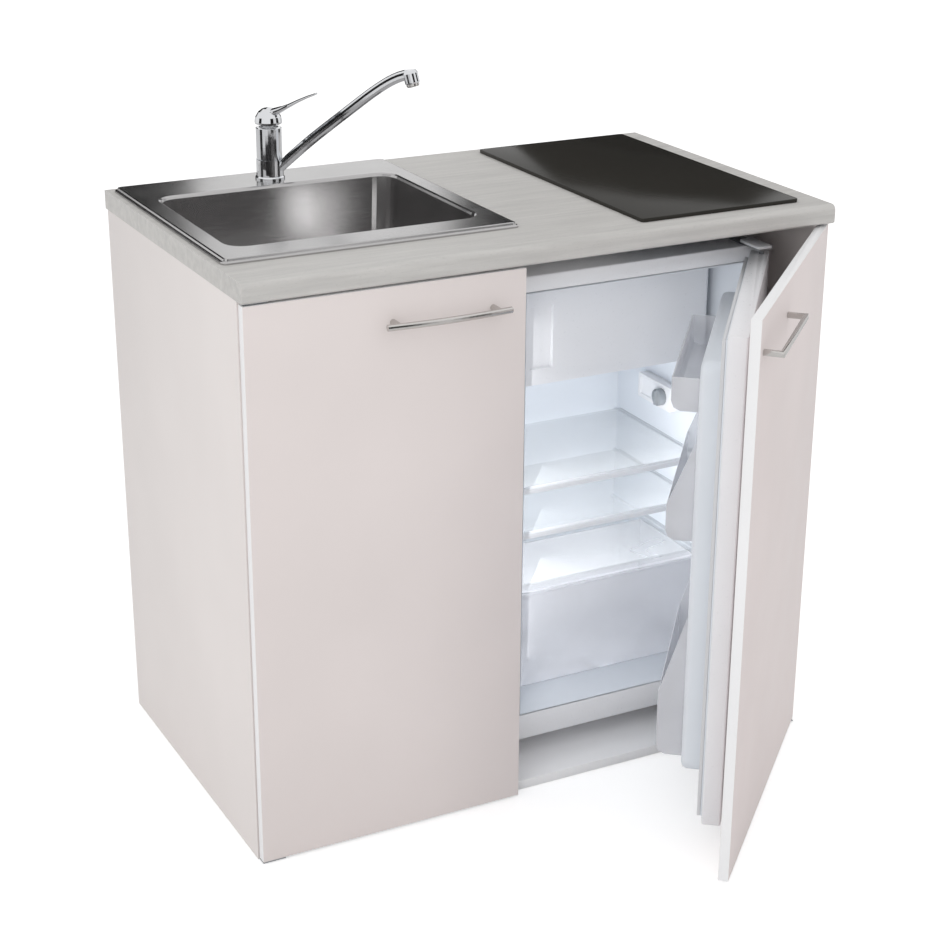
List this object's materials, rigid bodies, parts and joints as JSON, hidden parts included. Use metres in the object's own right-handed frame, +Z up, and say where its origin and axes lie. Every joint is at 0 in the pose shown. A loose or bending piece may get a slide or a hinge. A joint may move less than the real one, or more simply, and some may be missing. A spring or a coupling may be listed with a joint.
{
  "type": "kitchenette unit with sink and hob",
  "caption": "Free-standing kitchenette: inset sink with mixer tap, black two-zone hob and a built-under refrigerator behind a decor door that stands open.",
  "frame": {"origin": "on the floor under the middle of the worktop", "axes": "+X to the right along the front, +Y from the front to the back, +Z up"},
  "size_m": [1.0018, 0.9718, 1.1248],
  "materials": {
    "front": "warm white melamine-faced board, satin",
    "carcass": "white melamine-faced board, satin",
    "worktop": "light grey laminate with a fine grain",
    "steel": "brushed stainless steel",
    "zinc": "zinc-plated steel",
    "chrome": "polished chrome",
    "satin": "satin nickel",
    "glassBlack": "black glass ceramic, gloss",
    "enamel": "white enamelled sheet",
    "liner": "white moulded liner",
    "seal": "soft light grey seal",
    "clear": "clear",
    "whitePlastic": "white moulded plastic",
    "greyPlastic": "grey moulded plastic",
    "blackPlastic": "black plastic",
    "blackSteel": "black painted steel",
    "heater": "fibre ceramic heater"
  },
  "bodies": {
    "unit": {"left_side_panel": "carcass", "divider_panel": "carcass", "right_side_panel": "carcass", "sink_cabinet_floor": "carcass", "fridge_bay_floor": "carcass", "sink_front_rail": "carcass", "fridge_rear_rail": "carcass", "sink_back_panel": "carcass", "worktop": "worktop", "sink": "steel", "strainer": "steel", "bottle_trap": "whitePlastic", "waste_pipe": "whitePlastic", "tap_body": "chrome", "tap_fixing_nut": "zinc", "hob_glass": "glassBlack", "hob_tray": "zinc", "hob_front_heater": "heater", "hob_rear_heater": "heater", "hob_control_board": "greyPlastic", "sink_door_upper_pivot": "zinc", "sink_door_lower_pivot": "zinc", "decor_door_upper_pivot": "zinc", "decor_door_lower_pivot": "zinc", "fridge_cabinet": "enamel", "fridge_liner": "liner", "front_left_foot": "blackPlastic", "front_right_foot": "blackPlastic", "compressor": "blackSteel", "condenser": "blackSteel", "ice_box": "enamel", "thermostat_housing": "whitePlastic", "fridge_upper_hinge": "zinc", "fridge_hinge_cap": "whitePlastic", "fridge_lower_hinge": "zinc"},
    "sink_door": {"sink_door": "front", "sink_door_handle": "satin"},
    "decor_door": {"decor_door": "front", "decor_door_handle": "satin", "drag_channel": "whitePlastic"},
    "fridge_door": {"fridge_door": "enamel", "fridge_door_liner": "liner", "fridge_door_gasket": "seal", "drag_pin_bracket": "zinc"},
    "top_bin": {"top_bin": "clear"},
    "middle_bin": {"middle_bin": "clear"},
    "bottle_bin": {"bottle_bin": "clear"},
    "ice_box_flap": {"ice_box_flap": "enamel"},
    "upper_shelf": {"upper_shelf": "clear", "upper_shelf_trim": "whitePlastic"},
    "lower_shelf": {"lower_shelf": "clear", "lower_shelf_trim": "whitePlastic"},
    "crisper_lid": {"crisper_lid": "clear"},
    "crisper_drawer": {"crisper_drawer": "clear"},
    "thermostat_knob": {"thermostat_knob": "greyPlastic"},
    "tap_spout": {"tap_spout": "chrome", "tap_aerator": "satin"},
    "tap_cartridge": {"tap_cartridge": "whitePlastic"},
    "tap_lever": {"tap_lever": "chrome"},
    "sink_plug": {"sink_plug": "steel"}
  },
  "joints": [
    {"name": "sink_door_hinge", "type": "hinge", "parent": "unit", "child": "sink_door", "pos_m": [-0.492, -0.2885, 0.45], "axis": [0, 0, -1], "range_deg": [0, 95]},
    {"name": "fridge_door_hinge", "type": "hinge", "parent": "unit", "child": "fridge_door", "pos_m": [0.406, -0.24, 0.45], "axis": [0, 0, 1], "range_deg": [-51.3, 14]},
    {"name": "decor_door_hinge", "type": "hinge", "parent": "unit", "child": "decor_door", "pos_m": [0.483, -0.2835, 0.45], "axis": [0, 0, 1], "range_deg": [-44, 12.05]},
    {"name": "top_bin_lift", "type": "slide", "parent": "fridge_door", "child": "top_bin", "axis": [0, 0, 1], "range_m": [0, 0.01]},
    {"name": "middle_bin_lift", "type": "slide", "parent": "fridge_door", "child": "middle_bin", "axis": [0, 0, 1], "range_m": [0, 0.014]},
    {"name": "bottle_bin_lift", "type": "slide", "parent": "fridge_door", "child": "bottle_bin", "axis": [0, 0, 1], "range_m": [0, 0.014]},
    {"name": "ice_box_flap_hinge", "type": "hinge", "parent": "unit", "child": "ice_box_flap", "pos_m": [0.377, -0.125, 0.72], "axis": [0, 0, 1], "range_deg": [0, 45]},
    {"name": "upper_shelf_slide", "type": "slide", "parent": "unit", "child": "upper_shelf", "axis": [0, -1, 0], "range_m": [0, 0.07]},
    {"name": "lower_shelf_slide", "type": "slide", "parent": "unit", "child": "lower_shelf", "axis": [0, -1, 0], "range_m": [0, 0.07]},
    {"name": "crisper_lid_slide", "type": "slide", "parent": "unit", "child": "crisper_lid", "axis": [0, -1, 0], "range_m": [0, 0.07]},
    {"name": "crisper_drawer_slide", "type": "slide", "parent": "unit", "child": "crisper_drawer", "axis": [0, -1, 0], "range_m": [0, 0.07]},
    {"name": "thermostat_knob_turn", "type": "hinge", "parent": "unit", "child": "thermostat_knob", "pos_m": [0.368, -0.012, 0.533], "axis": [1, 0, 0], "range_deg": [-135, 135]},
    {"name": "tap_spout_swivel", "type": "hinge", "parent": "unit", "child": "tap_spout", "pos_m": [-0.242, 0.23, 0.955], "axis": [0, 0, 1], "range_deg": [-90, 90]},
    {"name": "tap_mix_turn", "type": "hinge", "parent": "unit", "child": "tap_cartridge", "pos_m": [-0.242, 0.23, 1], "axis": [0, 0, 1], "range_deg": [-45, 45]},
    {"name": "tap_lever_lift", "type": "hinge", "parent": "tap_cartridge", "child": "tap_lever", "pos_m": [-0.242, 0.23, 1.032], "axis": [-0.7071, -0.7071, 0], "range_deg": [0, 13]},
    {"name": "sink_plug_lift", "type": "slide", "parent": "unit", "child": "sink_plug", "axis": [0, 0, 1], "range_m": [0, 0.06]}
  ],
  "couplings": [
    {"joint": "decor_door_hinge", "follows": "fridge_door_hinge", "ratio": 0.8577}
  ]
}
